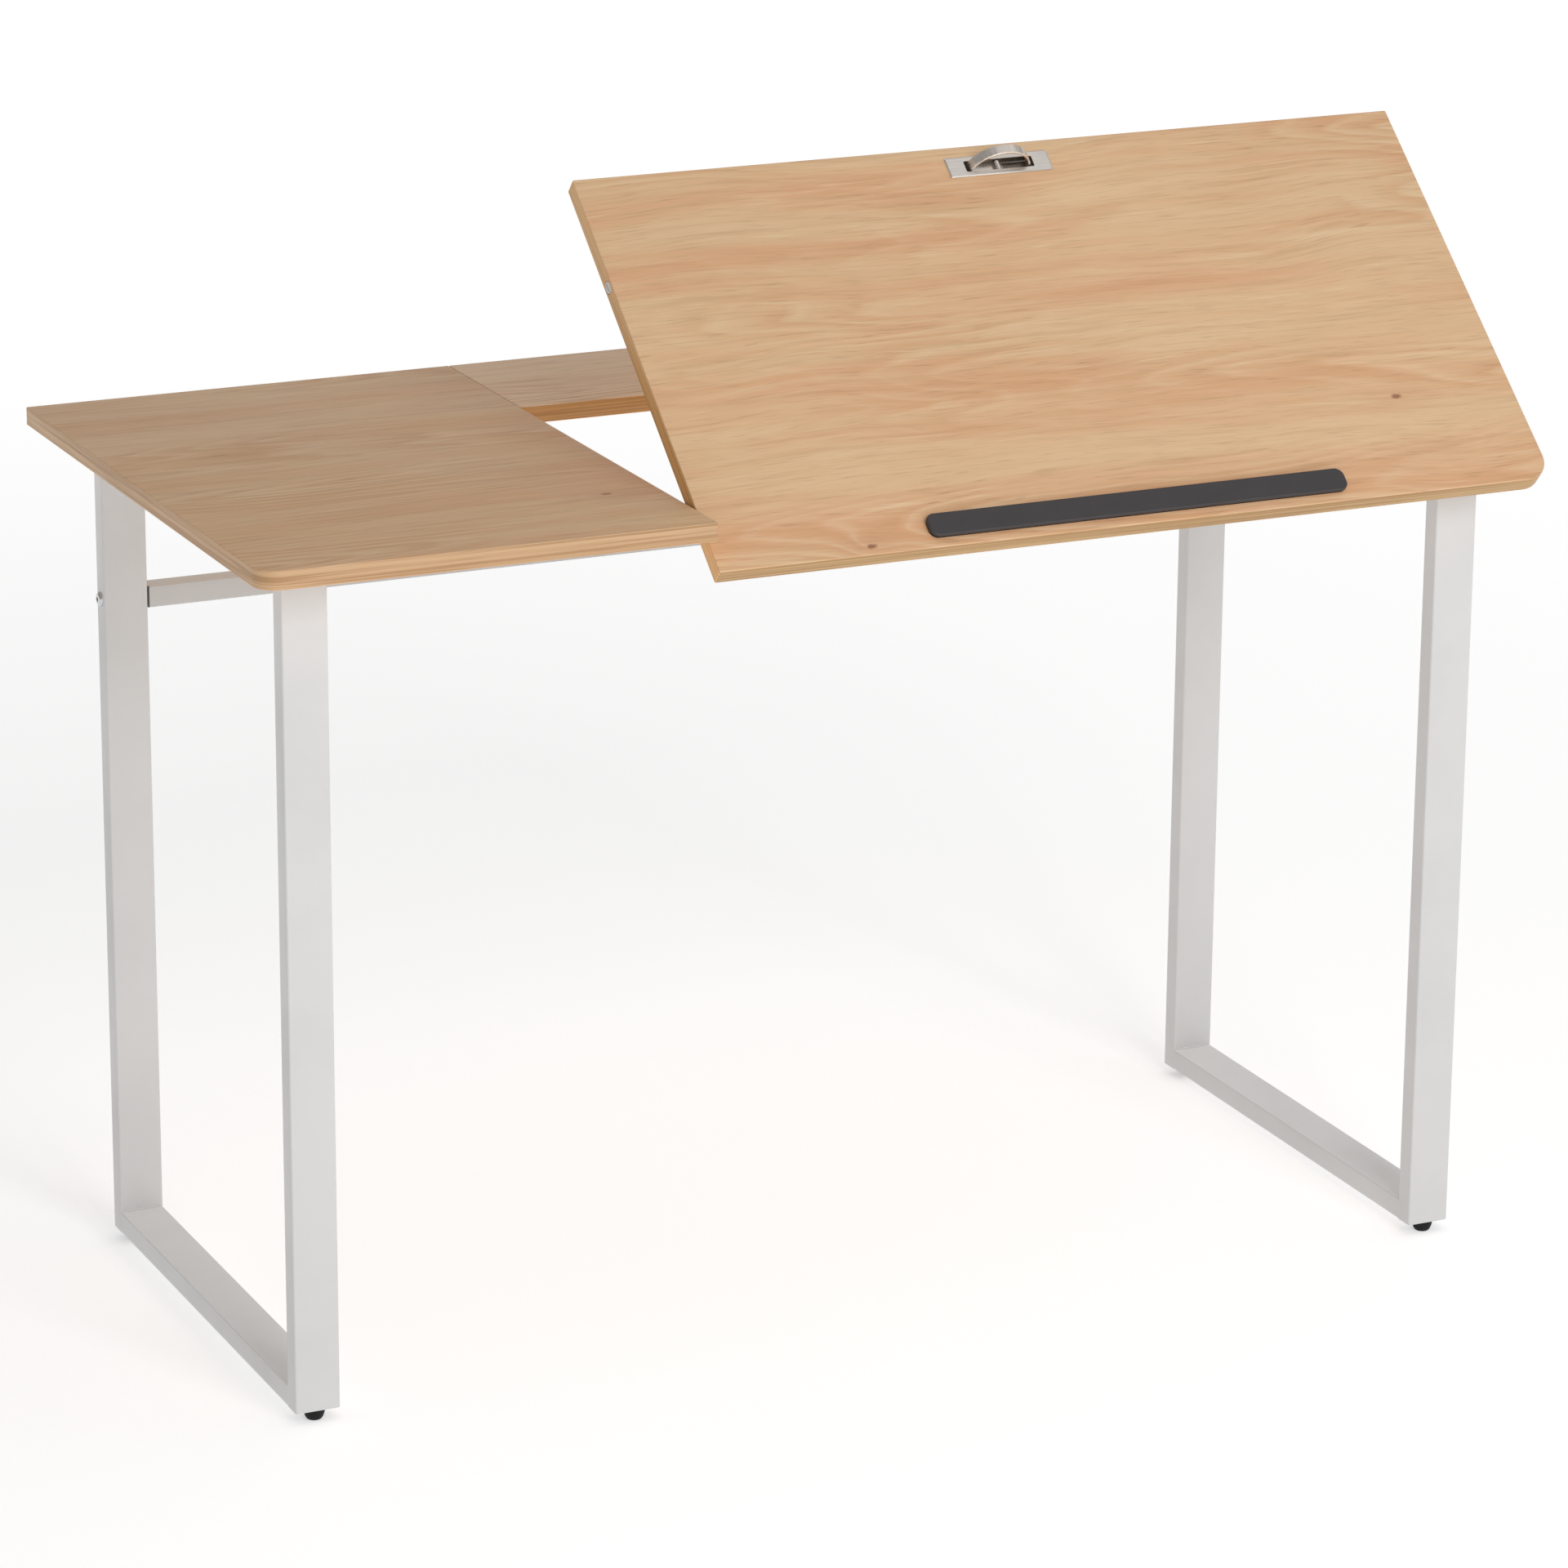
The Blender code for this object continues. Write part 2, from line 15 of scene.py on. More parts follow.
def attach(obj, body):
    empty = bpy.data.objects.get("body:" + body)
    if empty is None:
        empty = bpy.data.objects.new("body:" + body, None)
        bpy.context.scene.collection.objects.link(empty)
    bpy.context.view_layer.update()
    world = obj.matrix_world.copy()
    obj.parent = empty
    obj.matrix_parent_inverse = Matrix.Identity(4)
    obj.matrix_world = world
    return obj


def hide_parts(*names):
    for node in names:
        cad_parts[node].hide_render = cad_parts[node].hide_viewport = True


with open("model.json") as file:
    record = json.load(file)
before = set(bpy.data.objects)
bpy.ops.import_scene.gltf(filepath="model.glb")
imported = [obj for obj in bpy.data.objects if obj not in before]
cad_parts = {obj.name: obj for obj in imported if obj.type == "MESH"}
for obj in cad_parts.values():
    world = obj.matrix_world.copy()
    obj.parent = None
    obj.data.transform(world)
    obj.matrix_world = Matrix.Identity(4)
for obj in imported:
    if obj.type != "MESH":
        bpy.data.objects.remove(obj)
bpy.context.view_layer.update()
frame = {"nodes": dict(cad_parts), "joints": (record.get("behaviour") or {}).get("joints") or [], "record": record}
NODES = frame["nodes"]
JOINTS = {joint["name"]: joint for joint in frame["joints"]}

# ---------------------------------------------------------------- places taken from the frame
tilt = JOINTS["board_tilt"]
BOARD = Matrix.Translation((0, *tilt["pos_m"][1:])) @ Matrix.Rotation(radians(-tilt["range_deg"][0]), 4, "X")
IDENTITY = Matrix.Identity(4)
SOFT = 0.0010                      # radius of the panels' eased edges
PANEL_CORNER, BOARD_CORNER, SHARP_CORNER = 0.020, 0.024, 0.0015
STEEL_WALL, STEEL_CORNER = 0.0015, 0.0016
END_SHADE = 0.0013                      # width of the black bands on the stretcher's front and rear faces at both ends: painted shade of the gap at the legs
HANDLE_MOUTH, HANDLE_OPENING = (0.066, 0.0112), (0.0690, 0.0142)
CAP_HOLE, CAP_DISC = 0.0058, 0.0055
BAIL_STRAP, BAIL_BAR, BAIL_WIDTH = 0.0026, 0.0018, 0.0094
# the ledge's lowest 1.8 mm take a near-black finish: painted shade under its lower edge
LEDGE_CORNER, SHADE_BAND_HEIGHT = 0.008, 0.0018
STAY_SCREWS = (0.171, 0.209)       # from the hinge axis along the board
RAIL_RELIEF = 0.0024               # the front rail is this much shallower, and hides behind the panel's edge


def box_in(node, placing=IDENTITY):
    """The lowest and highest corner of a CAD node, in the frame that a placing matrix carries."""
    back = placing.inverted()
    points = [back @ v.co for v in NODES[node].data.vertices]
    return (
        Vector(min(p[i] for p in points) for i in range(3)),
        Vector(max(p[i] for p in points) for i in range(3)),
    )


# ---------------------------------------------------------------- node graphs
class Graph:
    """A material's node tree, with short calls for the nodes that the finishes are made of."""

    def __init__(self, name, roughness=0.5, metallic=0.0, **sockets):
        self.material = bpy.data.materials.new(name)
        self.material.use_nodes = True
        self.tree = self.material.node_tree
        self.shader = self.tree.nodes["Principled BSDF"]
        self.shader.inputs["Roughness"].default_value = roughness
        self.shader.inputs["Metallic"].default_value = metallic
        for key, value in sockets.items():
            self.shader.inputs[key.replace("_", " ")].default_value = value
        spots = self.add("TexCoord")
        self.place, self.facing = spots.outputs["Object"], spots.outputs["Normal"]

    def add(self, kind, **settings):
        made = self.tree.nodes.new("ShaderNode" + kind)
        for key, value in settings.items():
            setattr(made, key, value)
        return made

    def feed(self, socket, value):
        if isinstance(value, bpy.types.NodeSocket):
            self.tree.links.new(value, socket)
        else:
            socket.default_value = value

    def maths(self, operation, *values):
        made = self.add("Math", operation=operation)
        for socket, value in zip(made.inputs, values):
            self.feed(socket, value)
        return made.outputs[0]

    def vector(self, operation, *values):
        made = self.add("VectorMath", operation=operation)
        for socket, value in zip(made.inputs, values):
            self.feed(socket, value)
        return made.outputs["Value" if operation == "LENGTH" else "Vector"]

    def noise(self, where, scale, detail=2.0, rough=0.5, stretch=None):
        if stretch:
            where = self.vector("MULTIPLY", where, stretch)
        made = self.add("TexNoise")
        self.feed(made.inputs["Vector"], where)
        for key, value in (("Scale", scale), ("Detail", detail), ("Roughness", rough)):
            made.inputs[key].default_value = value
        return made.outputs[0]

    def span(self, value, low, high, to_low=0.0, to_high=1.0):
        made = self.add("MapRange", interpolation_type="SMOOTHSTEP")
        for socket, item in zip(made.inputs, (value, low, high, to_low, to_high)):
            self.feed(socket, item)
        return made.outputs[0]

    def mix(self, factor, a, b):
        made = self.add("Mix", data_type="RGBA")
        self.feed(made.inputs[0], factor)
        for socket, value in ((made.inputs[6], a), (made.inputs[7], b)):
            self.feed(socket, (*value, 1) if isinstance(value, tuple) and len(value) == 3 else value)
        return made.outputs[2]

    def axes(self, place):
        """A place's X, Y and Z, each as a value."""
        made = self.add("SeparateXYZ")
        self.feed(made.inputs[0], place)
        return made.outputs

    def sideways(self, where, amount):
        """A place moved along Y."""
        made = self.add("CombineXYZ")
        self.feed(made.inputs[1], amount)
        return self.vector("ADD", where, made.outputs[0])

    def bump(self, height, strength, distance, under=None):
        made = self.add("Bump")
        made.inputs["Strength"].default_value = strength
        made.inputs["Distance"].default_value = distance
        self.feed(made.inputs["Height"], height)
        if under is not None:
            self.feed(made.inputs["Normal"], under)
        return made.outputs[0]

    def finish(self, colour=None, roughness=None, normal=None):
        for key, value in (("Base Color", colour), ("Roughness", roughness), ("Normal", normal)):
            if value is not None:
                self.feed(self.shader.inputs[key], (*value, 1) if isinstance(value, tuple) else value)
        return self.material


def scaled(colour, *share):
    """A colour with each channel scaled, by one share or by three, and kept within 1."""
    share = share * 3 if len(share) == 1 else share
    return tuple(min(1, c * k) for c, k in zip(colour, share))


def oak_face(name, seed, knots, cream, peach):
    """Printed oak laminate: broad tones, nested flame figures, pale and dark fibres, short pores, knots."""
    brown = (0.50, 0.285, 0.145)
    g = Graph(name, roughness=0.5, Specular_IOR_Level=0.34)
    here = g.vector("ADD", g.place, (seed * 1.7, seed * 0.61, 0))
    core_mask, pull = None, None
    for x, y, size in knots:
        away = g.vector("MULTIPLY", g.vector("SUBTRACT", g.place, (x, y, 0)), (0.5, 1, 0))
        ragged = g.maths("MULTIPLY", g.noise(here, 420), size * 0.6)
        distance = g.maths("ADD", g.vector("LENGTH", away), ragged)
        core = g.span(distance, size * 0.65, size * 1.25, 1, 0)
        near = g.span(distance, size * 0.6, size * 8, 1, 0)
        core_mask = core if core_mask is None else g.maths("MAXIMUM", core_mask, core)
        pull = near if pull is None else g.maths("MAXIMUM", pull, near)

    # the fibres wander along the panel; the sawn surface's height in the tree gives the growth rings
    wander = g.maths("SUBTRACT", g.noise(here, 1.0, 1.5, 0.5, (2.7, 3.6, 1)), 0.5)
    swayed = g.sideways(here, g.maths("MULTIPLY", wander, 0.044))
    ridge = g.noise(swayed, 1.0, 1.5, 0.4, (1.3, 13, 1))
    waver = g.noise(swayed, 1.0, 2, 0.5, (6, 52, 1))
    slope = g.maths("MULTIPLY", g.axes(here)[0], 0.75)
    height = g.maths("ADD", g.maths("MULTIPLY", ridge, 1.35), slope)
    height = g.maths("ADD", height, g.maths("MULTIPLY", waver, 0.085))
    if pull is not None:
        height = g.maths("ADD", height, g.maths("MULTIPLY", g.maths("POWER", pull, 2.0), 0.07))
    ring = g.maths("FRACT", g.maths("MULTIPLY", height, 12))
    late = g.maths("MULTIPLY", g.span(ring, 0.30, 0.88), g.span(ring, 1.0, 0.86))
    early = g.maths("MULTIPLY", g.span(ring, 0.0, 0.10), g.span(ring, 0.34, 0.12))
    figure = g.span(g.noise(swayed, 1.0, 1, 0.5, (2.0, 10.0, 1)), 0.44, 0.64, 0.14, 1.0)

    bent = g.sideways(swayed, g.maths("MULTIPLY", g.maths("SUBTRACT", ridge, 0.5), 0.030))
    tone = g.noise(bent, 1.0, 3, 0.55, (1.3, 15, 1))
    drift = g.noise(bent, 1.0, 2, 0.5, (2.4, 40, 1))
    broad = g.noise(bent, 1.0, 3, 0.6, (5.5, 150, 1))
    fibre = g.noise(bent, 1.0, 3, 0.6, (11, 480, 1))
    pale = g.noise(g.vector("ADD", bent, (3, 5, 0)), 1.0, 2, 0.55, (13, 300, 1))
    pore = g.noise(g.vector("ADD", bent, (7, 2, 0)), 1.0, 1, 0.5, (28, 760, 1))
    crowd = g.span(g.noise(bent, 1.0, 2, 0.5, (5, 34, 1)), 0.42, 0.66)

    colour = g.mix(g.span(tone, 0.38, 0.63), cream, peach)
    colour = g.mix(g.maths("MULTIPLY", g.span(drift, 0.46, 0.70), 0.45), colour, scaled(cream, 1.04, 1.05, 1.08))
    colour = g.mix(g.maths("MULTIPLY", g.maths("MULTIPLY", late, figure), 0.50), colour, (0.655, 0.345, 0.17))
    colour = g.mix(g.maths("MULTIPLY", g.maths("MULTIPLY", early, figure), 0.30), colour, (0.86, 0.64, 0.41))
    colour = g.mix(g.maths("MULTIPLY", g.span(broad, 0.50, 0.72), 0.28), colour, brown)
    colour = g.mix(g.maths("MULTIPLY", g.span(broad, 0.48, 0.32), 0.17), colour, (0.86, 0.64, 0.42))
    colour = g.mix(g.maths("MULTIPLY", g.span(fibre, 0.53, 0.70), 0.28), colour, brown)
    fleck = g.maths("MULTIPLY", g.span(pale, 0.55, 0.70), g.span(crowd, 0, 1, 0.05, 0.30))
    colour = g.mix(fleck, colour, (0.91, 0.70, 0.46))
    ink = g.maths("ADD", 0.20, g.maths("MULTIPLY", late, g.maths("MULTIPLY", figure, 0.30)))
    colour = g.mix(g.maths("MULTIPLY", g.span(pore, 0.61, 0.70), ink), colour, (0.34, 0.19, 0.095))
    if pull is not None:
        colour = g.mix(g.maths("MULTIPLY", pull, 0.25), colour, (0.62, 0.33, 0.18))
        colour = g.mix(g.maths("MULTIPLY", core_mask, 0.80), colour, (0.28, 0.095, 0.05))
    rough = g.span(g.maths("ADD", fibre, g.maths("MULTIPLY", tone, 0.4)), 0.4, 1.0, 0.44, 0.60)
    relief = g.maths("SUBTRACT", g.maths("MULTIPLY", fibre, 0.5), g.span(pore, 0.60, 0.70))
    worn = g.bump(g.noise(here, 35, 2), 0.04, 0.002)
    return g.finish(colour, rough, g.bump(relief, 0.16, 0.0002, worn))


def oak_edge(name, seed, box, tone):
    """Edge banding: stripes along the edge, a shade deeper than the faces, and a faint line beside each face."""
    g = Graph(name, roughness=0.46)
    here = g.vector("ADD", g.place, (seed, seed * 0.37, seed * 0.013))
    wide = g.noise(here, 1.0, 2, 0.5, (2.2, 2.2, 150))
    stripe = g.noise(here, 1.0, 3, 0.6, (3.2, 3.2, 420))
    fine = g.noise(here, 1.0, 3, 0.65, (22, 22, 1500))
    dark, pale = scaled(tone, 0.74, 0.66, 0.55), scaled(tone, 1.16, 1.22, 1.32)
    colour = g.mix(g.span(wide, 0.36, 0.64), tone, pale)
    colour = g.mix(g.maths("MULTIPLY", g.span(stripe, 0.46, 0.62), 0.80), colour, dark)
    colour = g.mix(g.maths("MULTIPLY", g.span(fine, 0.5, 0.72), 0.35), colour, dark)
    off_middle = g.maths("ABSOLUTE", g.maths("SUBTRACT", g.axes(g.place)[2], (box[0].z + box[1].z) / 2))
    half = (box[1].z - box[0].z) / 2
    seam = g.maths(
        "MULTIPLY", g.span(off_middle, half - 0.0011, half - 0.0008), g.span(off_middle, half - 0.0003, half - 0.0005)
    )
    colour = g.mix(g.maths("MULTIPLY", seam, 0.3), colour, dark)
    return g.finish(colour, g.span(fine, 0.3, 0.8, 0.40, 0.56), g.bump(fine, 0.12, 0.0002))


def chipboard(name):
    """The raw core that shows only inside cut openings."""
    g = Graph(name, roughness=0.9)
    chips = g.noise(g.place, 260, 5, 0.7)
    colour = g.mix(g.span(chips, 0.35, 0.65), (0.30, 0.19, 0.10), (0.56, 0.41, 0.25))
    return g.finish(colour, g.span(chips, 0.3, 0.7, 0.8, 0.95), g.bump(chips, 0.7, 0.0006))


def powder_coat(name, tone):
    """White powder coat: orange peel, broad patches a breath greyer, and painted light that makes faces looking up
    paler.
    """
    g = Graph(name, roughness=0.42, Coat_Weight=0.14, Coat_Roughness=0.35)
    peel = g.noise(g.place, 620, 3, 0.55)
    cloud = g.noise(g.place, 7, 4, 0.6)
    speck = g.noise(g.place, 1900, 1, 0.5)
    colour = g.mix(g.span(cloud, 0.35, 0.7), tone, scaled(tone, 0.955))
    colour = g.mix(g.maths("MULTIPLY", g.span(speck, 0.66, 0.74), 0.25), colour, scaled(tone, 0.8))
    # painted light: faces that look up are made much paler, with a little more roughness, for the light that falls on
    # them
    upward = g.span(g.axes(g.facing)[2], 0.55, 0.95)
    dust_and_top_light = g.maths("MULTIPLY", upward, g.span(cloud, 0.25, 0.6, 0.80, 1.0))
    colour = g.mix(dust_and_top_light, colour, scaled(tone, 1.48, 1.52, 1.56))
    rough = g.span(g.maths("ADD", cloud, g.maths("MULTIPLY", peel, 0.3)), 0.4, 0.9, 0.34, 0.50)
    rough = g.maths("ADD", rough, g.maths("MULTIPLY", dust_and_top_light, 0.1))
    normal = g.bump(cloud, 0.05, 0.003)
    return g.finish(colour, rough, g.bump(peel, 0.22, 0.00025, normal))


def brushed(name, tone, grain=(12, 900, 900), base=0.30, strength=0.12, shaded_corner=None):
    """Plated steel with a brushed grain along one axis, faint handling marks, and painted shade beyond a corner."""
    g = Graph(name, roughness=base, metallic=1.0)
    lines = g.noise(g.place, 1.0, 4, 0.6, grain)
    smear = g.noise(g.place, 55, 3, 0.6)
    colour = g.mix(g.span(lines, 0.35, 0.68), scaled(tone, 0.90), scaled(tone, 1.08))
    colour = g.mix(g.maths("MULTIPLY", g.span(smear, 0.5, 0.75), 0.18), colour, scaled(tone, 0.78))
    # painted shade: beyond the corner the colour goes dark brown
    if shaded_corner:
        x, _, z = g.axes(g.place)
        beyond = g.maths(
            "MULTIPLY", g.span(x, shaded_corner[0], shaded_corner[0] + 0.004), g.span(z, shaded_corner[1], shaded_corner[1] - 0.0015)
        )
        colour = g.mix(g.maths("MULTIPLY", beyond, 0.88), colour, (0.10, 0.075, 0.055))
    worn = g.maths("ADD", lines, g.maths("MULTIPLY", smear, 0.5))
    rough = g.span(worn, 0.45, 1.0, base - 0.06, base + 0.14)
    return g.finish(colour, rough, g.bump(lines, strength, 0.0002))


def zinc_plate(name):
    """Bright zinc with the faint blue and straw drift of its passivation."""
    g = Graph(name, roughness=0.32, metallic=1.0)
    drift = g.noise(g.place, 90, 3, 0.6)
    grainy = g.noise(g.place, 900, 4, 0.6)
    colour = g.mix(g.span(drift, 0.35, 0.65), (0.60, 0.62, 0.66), (0.70, 0.67, 0.58))
    colour = g.mix(g.maths("MULTIPLY", g.span(grainy, 0.55, 0.75), 0.35), colour, (0.42, 0.42, 0.42))
    return g.finish(colour, g.span(grainy, 0.3, 0.75, 0.24, 0.46), g.bump(grainy, 0.15, 0.0002))


def moulded(name, tone, base=0.5, grain=1100, strength=0.25, specular=0.5):
    """Moulded plastic or rubber with a spark-eroded grain and dusty variation in its gloss."""
    g = Graph(name, roughness=base, Specular_IOR_Level=specular)
    fine = g.noise(g.place, grain, 3, 0.6)
    dust_and_top_light = g.noise(g.place, 30, 4, 0.65)
    lighter = tuple(min(1, c * 1.45 + 0.003) for c in tone)
    colour = g.mix(g.maths("MULTIPLY", g.span(dust_and_top_light, 0.42, 0.75), 0.5), tone, lighter)
    colour = g.mix(g.maths("MULTIPLY", g.span(fine, 0.58, 0.75), 0.25), colour, lighter)
    rough = g.span(g.maths("ADD", dust_and_top_light, g.maths("MULTIPLY", fine, 0.4)), 0.4, 1.0, base - 0.07, base + 0.12)
    return g.finish(colour, rough, g.bump(fine, strength, 0.0002))


# ---------------------------------------------------------------- mesh making
def rounded(width, depth, radius=0.0, steps=10, centre=(0, 0)):
    """A rectangle with one radius for each corner, from the (+, +) corner, counter-clockwise."""
    radii = radius if isinstance(radius, tuple) else (radius,) * 4
    points = []
    for corner, r in enumerate(radii):
        side_u, side_v = ((1, 1), (-1, 1), (-1, -1), (1, -1))[corner]
        for step in range(steps):
            angle = pi / 2 * (corner + step / (steps - 1))
            points.append((
                centre[0] + side_u * (width / 2 - r) + r * cos(angle),
                centre[1] + side_v * (depth / 2 - r) + r * sin(angle),
            ))
    return points


def circle(radius, count=48, centre=(0, 0)):
    return [
        (centre[0] + radius * cos(2 * pi * i / count), centre[1] + radius * sin(2 * pi * i / count))
        for i in range(count)
    ]


def lift(outline, axis, at):
    """Places a flat outline at a height along an axis: (y, z) along X, (x, z) along Y, (x, y) along Z."""
    order = {"X": lambda u, v: (at, u, v), "Y": lambda u, v: (u, at, v), "Z": lambda u, v: (u, v, at)}
    return [Vector(order[axis](u, v)) for u, v in outline]


def skin(name, loops, finish, ring=False, sharp=38):
    """Joins loops of equal length into a closed body: capped at both ends, or back to the first."""
    mesh = bpy.data.meshes.new(name)
    bm = bmesh.new()
    rows = [[bm.verts.new(point) for point in loop] for loop in loops]
    for row, following in zip(rows, rows[1:] + rows[:1] if ring else rows[1:]):
        for i in range(len(row)):
            j = (i + 1) % len(row)
            bm.faces.new((row[i], row[j], following[j], following[i]))
    if not ring:
        bm.faces.new(rows[0])
        bm.faces.new(rows[-1])
    bmesh.ops.recalc_face_normals(bm, faces=bm.faces)
    bm.to_mesh(mesh)
    bm.free()
    made = bpy.data.objects.new(name, mesh)
    bpy.context.scene.collection.objects.link(made)
    mesh.materials.append(finish)
    smooth(made, sharp)
    return made


def smooth(made, sharp=38):
    made.data.shade_smooth()
    made.data.set_sharp_from_angle(angle=radians(sharp))


def eased(low, high, radius, steps=4):
    """(height, inset) pairs from one flat end to the other, with a quarter round at both."""
    turn = [pi / 2 * i / steps for i in range(steps + 1)]
    lower = [(low + radius * (1 - cos(a)), radius * (1 - sin(a))) for a in turn]
    upper = [(high - radius * (1 - cos(a)), radius * (1 - sin(a))) for a in reversed(turn)]
    return lower + upper


def cut(target, tool, operation="DIFFERENCE"):
    """Takes a tool out of a body, or joins it to the body, and removes the tool."""
    modifier = target.modifiers.new("Cut", "BOOLEAN")
    modifier.operation, modifier.object, modifier.solver = operation, tool, "EXACT"
    bpy.context.view_layer.update()
    mesh = bpy.data.meshes.new_from_object(target.evaluated_get(bpy.context.evaluated_depsgraph_get()))
    target.modifiers.clear()
    target.data = mesh
    bpy.data.objects.remove(tool)
    smooth(target)


def settle(made, body, nodes=(), placing=IDENTITY):
    """Puts a piece in place on its body and the CAD nodes that it stands for."""
    made.matrix_world = placing @ made.matrix_world
    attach(made, body)
    if nodes:
        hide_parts(*nodes)


# ---------------------------------------------------------------- finishes
LEFT_KNOTS = ((-0.249, -0.178, 0.0035),)
low, high = box_in("tilt_board", BOARD)
BOARD_KNOTS = ((0.484, low.y + 0.1014, 0.0036), (-0.057, low.y + 0.0082, 0.0034))
oak_left = oak_face("Oak laminate, left panel", 3.1, LEFT_KNOTS, (0.755, 0.500, 0.283), (0.735, 0.440, 0.236))
oak_board = oak_face("Oak laminate, tilting board", 0.0, BOARD_KNOTS, (0.760, 0.518, 0.300), (0.725, 0.405, 0.215))
oak_strip = oak_face("Oak laminate, rear strip", 7.7, (), (0.94, 0.68, 0.45), (0.88, 0.59, 0.375))
band = oak_edge("Oak edge band, left panel", 0.4, box_in("left_panel"), (0.525, 0.315, 0.157))
band_strip = oak_edge("Oak edge band, rear strip", 2.9, box_in("rear_strip_panel"), (0.53, 0.265, 0.080))
band_side = oak_edge("Oak edge band, tilting board's left edge", 4.3, (low, high), (0.72, 0.415, 0.155))
band_board = oak_edge("Oak edge band, tilting board", 1.7, (low, high), (0.445, 0.265, 0.108))
core = chipboard("Chipboard core")
white = powder_coat("White powder coat", (0.655, 0.65, 0.645))
# a darker copy of the white powder coat for the stretcher: painted shade under the tabletop
white_shaded_copy = powder_coat("White powder coat, darkened for painted shade", (0.565, 0.555, 0.545))
nickel = brushed("Satin nickel", (0.78, 0.73, 0.68), base=0.33)
# dark finish for the inner walls of the handle's mouth: painted shade in the recess
shade = brushed("Painted shade inside the handle", (0.20, 0.17, 0.145), (300, 300, 40), 0.42, 0.2)
zinc = zinc_plate("Zinc plate")
charcoal = moulded("Charcoal ledge", (0.0395, 0.0350, 0.0370), 0.48, 900, 0.2)
# near-black finish for the band at the ledge's base: painted shade
shade_band = moulded("Ledge gasket", (0.008, 0.006, 0.005), 0.75, 900, 0.3, 0.15)
black = moulded("Black knob plastic", (0.030, 0.030, 0.031), 0.42)
rubber = moulded("Foot rubber", (0.009, 0.009, 0.0095), 0.62, 700, 0.35, 0.22)
pale = moulded("Pale cap plastic", (0.66, 0.65, 0.64), 0.38, 900, 0.15)

SLOT_FINISH = {
    "oak": oak_left, "oak_strip": oak_strip, "white_powder_coat": white, "zinc": zinc, "satin_nickel": nickel,
    "black_plastic": black, "charcoal_plastic": charcoal, "pale_plastic": pale, "foot_rubber": rubber,
}
for part in frame["record"]["subparts"]:
    node = NODES[part["node"]]
    for holder in node.material_slots:
        holder.material = SLOT_FINISH[part["material_slot"]]


# ---------------------------------------------------------------- panels
def panel(name, low, high, radii, face, banding):
    """A panel with laminate above and below and banded, eased edges all round."""
    centre, size = (low + high) / 2, high - low
    loops = []
    for z, inset in eased(low.z, high.z, SOFT):
        radius = tuple(max(r - inset, 0.0004) for r in radii)
        outline = rounded(size.x - 2 * inset, size.y - 2 * inset, radius, 14, (centre.x, centre.y))
        loops.append(lift(outline, "Z", z))
    made = skin(name, loops, face)
    made.data.materials.append(banding)
    made.data.materials.append(core)   # cuts take it on
    for polygon in made.data.polygons:
        polygon.material_index = 0 if abs(polygon.normal.z) > 0.55 else 1
    return made


radii = (SHARP_CORNER, SHARP_CORNER, PANEL_CORNER, SHARP_CORNER)
left = panel("left_panel_top", *box_in("left_panel"), radii, oak_left, band)
settle(left, "frame", ["left_panel"])
strip = panel("rear_strip_top", *box_in("rear_strip_panel"), (SHARP_CORNER,) * 4, oak_strip, band_strip)
settle(strip, "frame", ["rear_strip_panel"])

low, high = box_in("tilt_board", BOARD)
radii = (SHARP_CORNER, SHARP_CORNER, SHARP_CORNER, BOARD_CORNER)
board = panel("tilt_board_top", low, high, radii, oak_board, band_board)
board.data.materials.append(band_side)
for polygon in board.data.polygons:
    if polygon.material_index == 1 and polygon.normal.x < -0.5:
        polygon.material_index = 3
case_low, case_high = box_in("handle_case", BOARD)
handle = (case_low + case_high) / 2
outline = rounded(*HANDLE_OPENING, 0.002, 6, handle.xy)
cut(board, skin("opening", [lift(outline, "Z", z) for z in (low.z - 0.01, high.z + 0.01)], core))
cap_low, cap_high = box_in("edge_cap", BOARD)
cap = (cap_low + cap_high) / 2
outline = circle(CAP_HOLE, 40, (cap.y, cap.z))
cut(board, skin("socket", [lift(outline, "X", x) for x in (cap_low.x - 0.01, cap_high.x + 0.0003)], core))
settle(board, "board", ["tilt_board"], BOARD)


